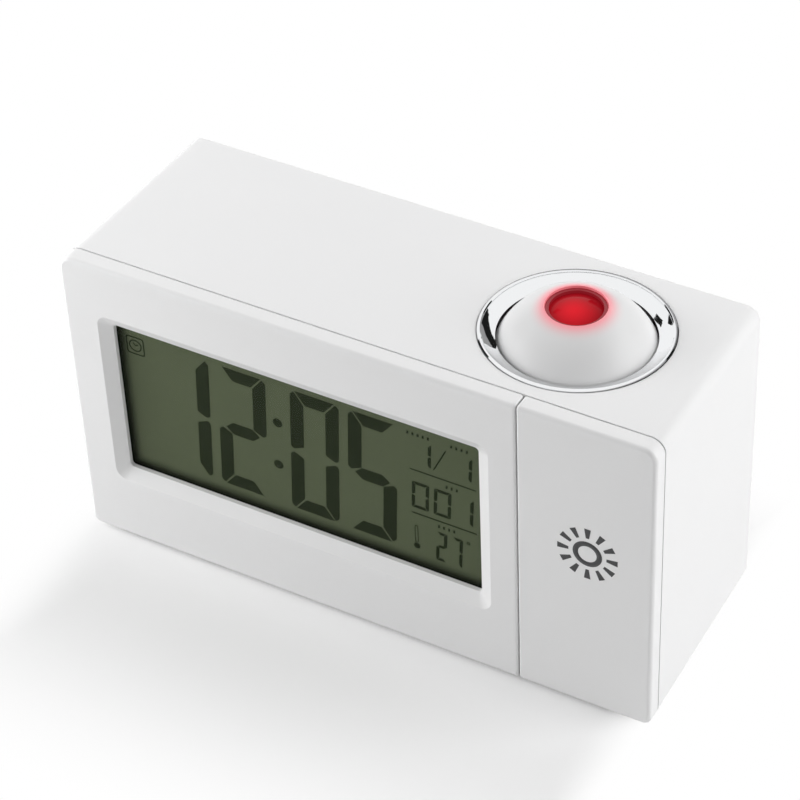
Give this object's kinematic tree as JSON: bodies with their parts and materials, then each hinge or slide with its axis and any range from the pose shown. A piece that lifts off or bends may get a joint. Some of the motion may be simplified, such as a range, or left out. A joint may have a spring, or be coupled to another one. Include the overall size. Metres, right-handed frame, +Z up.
{
  "type": "projection alarm clock",
  "caption": "Box-shaped white desk clock with a liquid crystal display, a large front push key and a tilting projector ball in a chrome ring.",
  "frame": {"origin": "on the surface the clock stands on, under the middle of its box", "axes": "+X along the width towards the projector, display faces -Y, +Z up"},
  "size_m": [0.15, 0.056, 0.089],
  "materials": {
    "case_plastic": "satin white moulding",
    "clear_window": "thin clear window",
    "display_film": "grey-green polarising film",
    "display_glass": "clear glass",
    "reflector_film": "silver-grey film",
    "clear_acrylic": "clear acrylic",
    "white_led": "white",
    "inner_plastic": "plain white moulding",
    "contact_rubber": "striped elastomer",
    "circuit_board": "green solder mask",
    "black_resin": "black resin",
    "plain_steel": "zinc plated",
    "black_plastic": "matt black",
    "grey_plastic": "light grey",
    "nickel_contacts": "nickel plated spring steel",
    "chrome_plate": "bright plating",
    "ball_plastic": "glossy white moulding",
    "red_lens": "red lens",
    "red_led": "clear red",
    "felt_washer": "grey felt",
    "cell_sleeve": "plain printed sleeve",
    "foot_rubber": "pale rubber"
  },
  "bodies": {
    "case": {"housing": "case_plastic", "front_bezel": "case_plastic", "display_window": "clear_window", "front_polariser": "display_film", "display_front_glass": "display_glass", "display_rear_glass": "display_glass", "rear_polariser": "reflector_film", "light_guide": "clear_acrylic", "backlight_led": "white_led", "display_holder": "inner_plastic", "contact_strip": "contact_rubber", "main_board": "circuit_board", "clock_chip": "black_resin", "quartz_crystal": "plain_steel", "key_switch_board": "circuit_board", "front_tact_switch": "black_plastic", "rear_key_board": "circuit_board", "rear_tact_switches": "black_plastic", "projector_switch_body": "black_plastic", "temperature_sensor": "black_resin", "buzzer": "black_plastic", "board_screws": "plain_steel", "case_screws": "plain_steel", "contact_plates": "nickel_contacts", "contact_springs": "nickel_contacts", "chrome_ring": "chrome_plate", "projector_cradle": "inner_plastic", "cradle_screws": "plain_steel", "friction_washers": "felt_washer", "battery_cell_1": "cell_sleeve", "battery_cell_2": "cell_sleeve", "battery_cell_3": "cell_sleeve", "foot_front_left": "foot_rubber", "foot_front_right": "foot_rubber", "foot_rear_left": "foot_rubber", "foot_rear_right": "foot_rubber"},
    "front_key": {"projection_key": "case_plastic"},
    "door": {"battery_door": "case_plastic"},
    "projector": {"ball_upper_shell": "ball_plastic", "ball_lower_shell": "ball_plastic", "ball_screws": "plain_steel", "lens_barrel": "black_plastic", "projection_lens": "red_lens", "condenser_lens": "clear_acrylic", "projector_slide": "display_glass", "projector_led": "red_led", "projector_board": "circuit_board"},
    "switch": {"projector_switch_knob": "grey_plastic"},
    "key_1": {"rear_key_1": "grey_plastic"},
    "key_2": {"rear_key_2": "grey_plastic"},
    "key_3": {"rear_key_3": "grey_plastic"},
    "key_4": {"rear_key_4": "grey_plastic"}
  },
  "joints": [
    {"name": "projector_tilt", "type": "hinge", "parent": "case", "child": "projector", "pos_m": [0.0415, 0.00159, 0.07048], "axis": [1, 0, 0], "range_deg": [-35, 35]},
    {"name": "front_key_press", "type": "slide", "parent": "case", "child": "front_key", "axis": [0, 1, 0], "range_m": [0, 0.00035], "stiffness_N_per_m": 3000, "springref_m": -0.0002},
    {"name": "battery_door_hinge", "type": "hinge", "parent": "case", "child": "door", "pos_m": [-0.014, 0.0279, 0.019], "axis": [-1, 0, 0], "range_deg": [0, 75]},
    {"name": "projector_switch_slide", "type": "slide", "parent": "case", "child": "switch", "axis": [1, 0, 0], "range_m": [0, 0.003]},
    {"name": "rear_key_1_press", "type": "slide", "parent": "case", "child": "key_1", "axis": [0, -1, 0], "range_m": [0, 0.0003], "stiffness_N_per_m": 2000, "springref_m": -0.0002},
    {"name": "rear_key_2_press", "type": "slide", "parent": "case", "child": "key_2", "axis": [0, -1, 0], "range_m": [0, 0.0003], "stiffness_N_per_m": 2000, "springref_m": -0.0002},
    {"name": "rear_key_3_press", "type": "slide", "parent": "case", "child": "key_3", "axis": [0, -1, 0], "range_m": [0, 0.0003], "stiffness_N_per_m": 2000, "springref_m": -0.0002},
    {"name": "rear_key_4_press", "type": "slide", "parent": "case", "child": "key_4", "axis": [0, -1, 0], "range_m": [0, 0.0003], "stiffness_N_per_m": 2000, "springref_m": -0.0002}
  ]
}
